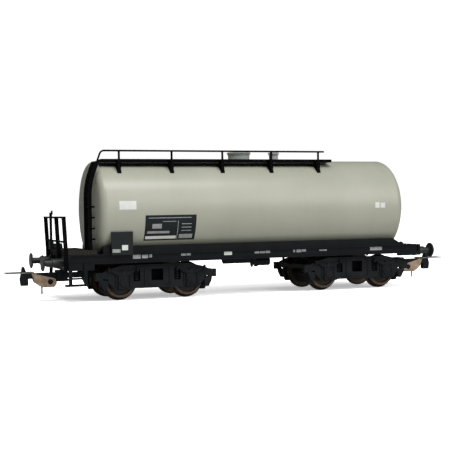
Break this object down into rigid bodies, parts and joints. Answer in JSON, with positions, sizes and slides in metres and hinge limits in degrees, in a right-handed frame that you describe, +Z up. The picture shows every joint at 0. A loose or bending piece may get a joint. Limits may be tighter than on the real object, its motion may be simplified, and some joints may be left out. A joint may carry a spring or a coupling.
{
  "type": "model railway tank car",
  "caption": "HO scale model of a four-axle tank wagon: grey barrel with walkway and domes on a black frame, swivelling bogies, free-turning wheelsets and lifting coupler levers.",
  "frame": {"origin": "on the floor under the wheel flanges, midway between the buffer faces and between the two sides", "axes": "+X along the wagon towards the plain end, +Y towards the left side, +Z up"},
  "size_m": [0.1628, 0.0332, 0.0492],
  "materials": {
    "tank_paint": "satin",
    "frame_black": "satin",
    "bogie_black": "matte",
    "deck_brown": "matte",
    "sign_black": "matte",
    "wheel_metal": "browned",
    "axle_metal": "satin",
    "lever_metal": "dull",
    "loop_wire": "satin"
  },
  "bodies": {
    "wagon": {"tank_barrel": "tank_paint", "manhole_dome": "tank_paint", "valve_dome": "tank_paint", "walkway": "frame_black", "handrail_posts": "frame_black", "handrail": "frame_black", "end_ladder": "frame_black", "chassis_floor": "frame_black", "centre_sill": "frame_black", "solebar_right": "frame_black", "solebar_left": "frame_black", "headstock_a": "frame_black", "headstock_b": "frame_black", "cradle_right": "frame_black", "cradle_left": "frame_black", "platform_deck": "deck_brown", "platform_railing": "frame_black", "handbrake_column": "frame_black", "handbrake_gearbox": "frame_black", "footstep_right": "frame_black", "footstep_left": "frame_black", "sign_plate_right": "sign_black", "sign_plate_left": "sign_black", "buffer_a_right": "frame_black", "buffer_a_left": "frame_black", "buffer_b_right": "frame_black", "buffer_b_left": "frame_black", "air_reservoir": "frame_black", "brake_cylinder": "frame_black", "brake_lever": "frame_black", "pivot_screw_a": "axle_metal", "pivot_screw_b": "axle_metal"},
    "bogie_a": {"bogie_a_side_right": "bogie_black", "bogie_a_side_left": "bogie_black", "bogie_a_bolster": "bogie_black", "bogie_a_brakes": "bogie_black", "coupler_a_hook": "bogie_black"},
    "wheelset_a_outer": {"wheels_a_outer": "wheel_metal", "axle_a_outer": "axle_metal"},
    "wheelset_a_inner": {"wheels_a_inner": "wheel_metal", "axle_a_inner": "axle_metal"},
    "lever_a": {"coupler_a_lever": "lever_metal", "coupler_a_loop": "loop_wire"},
    "bogie_b": {"bogie_b_side_right": "bogie_black", "bogie_b_side_left": "bogie_black", "bogie_b_bolster": "bogie_black", "bogie_b_brakes": "bogie_black", "coupler_b_hook": "bogie_black"},
    "wheelset_b_outer": {"wheels_b_outer": "wheel_metal", "axle_b_outer": "axle_metal"},
    "wheelset_b_inner": {"wheels_b_inner": "wheel_metal", "axle_b_inner": "axle_metal"},
    "lever_b": {"coupler_b_lever": "lever_metal", "coupler_b_loop": "loop_wire"}
  },
  "joints": [
    {"name": "bogie_a_swivel", "type": "hinge", "parent": "wagon", "child": "bogie_a", "pos_m": [-0.0344, 0, 0.011], "axis": [0, 0, 1], "range_deg": [-8, 8]},
    {"name": "wheelset_a_outer_spin", "type": "hinge", "parent": "bogie_a", "child": "wheelset_a_outer", "pos_m": [-0.0459, 0, 0.00602], "axis": [0, 1, 0], "continuous": true},
    {"name": "wheelset_a_inner_spin", "type": "hinge", "parent": "bogie_a", "child": "wheelset_a_inner", "pos_m": [-0.0229, 0, 0.00602], "axis": [0, 1, 0], "continuous": true},
    {"name": "lever_a_lift", "type": "hinge", "parent": "bogie_a", "child": "lever_a", "pos_m": [-0.0671, 0, 0.0065], "axis": [0, 1, 0], "range_deg": [0, 12]},
    {"name": "bogie_b_swivel", "type": "hinge", "parent": "wagon", "child": "bogie_b", "pos_m": [0.0392, 0, 0.011], "axis": [0, 0, 1], "range_deg": [-8, 8]},
    {"name": "wheelset_b_outer_spin", "type": "hinge", "parent": "bogie_b", "child": "wheelset_b_outer", "pos_m": [0.0507, 0, 0.00602], "axis": [0, 1, 0], "continuous": true},
    {"name": "wheelset_b_inner_spin", "type": "hinge", "parent": "bogie_b", "child": "wheelset_b_inner", "pos_m": [0.0277, 0, 0.00602], "axis": [0, 1, 0], "continuous": true},
    {"name": "lever_b_lift", "type": "hinge", "parent": "bogie_b", "child": "lever_b", "pos_m": [0.0671, 0, 0.0065], "axis": [0, -1, 0], "range_deg": [0, 12]}
  ]
}
